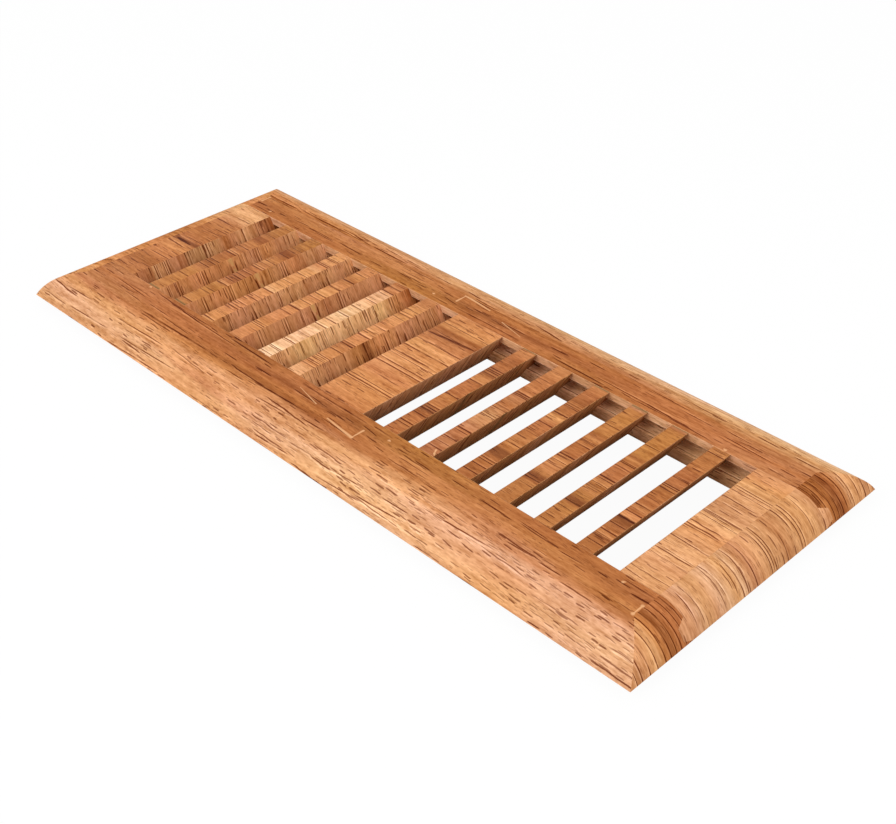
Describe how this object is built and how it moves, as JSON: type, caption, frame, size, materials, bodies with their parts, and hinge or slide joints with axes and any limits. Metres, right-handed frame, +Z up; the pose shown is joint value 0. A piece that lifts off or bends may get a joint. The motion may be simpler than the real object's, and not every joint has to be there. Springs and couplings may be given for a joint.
{
  "type": "floor register",
  "caption": "Drop-in wooden floor register: rounded rim of grooved rails, with a bank of leaning louvres on each side of a centre rail, over a floor duct.",
  "frame": {"origin": "middle of the underside, on the centre rail's foot", "axes": "+X along the side rails, +Y along the louvres towards the rear side rail, +Z up through the top face"},
  "size_m": [0.3492, 0.1458, 0.0153],
  "materials": {
    "hardwood": "satin lacquer"
  },
  "bodies": {
    "root": {"side_rail_front": "hardwood", "side_rail_rear": "hardwood", "end_rail_left": "hardwood", "end_rail_right": "hardwood", "centre_rail": "hardwood", "louvre_left_1": "hardwood", "louvre_left_2": "hardwood", "louvre_left_3": "hardwood", "louvre_left_4": "hardwood", "louvre_left_5": "hardwood", "louvre_left_6": "hardwood", "louvre_right_1": "hardwood", "louvre_right_2": "hardwood", "louvre_right_3": "hardwood", "louvre_right_4": "hardwood", "louvre_right_5": "hardwood", "louvre_right_6": "hardwood"}
  },
  "joints": []
}
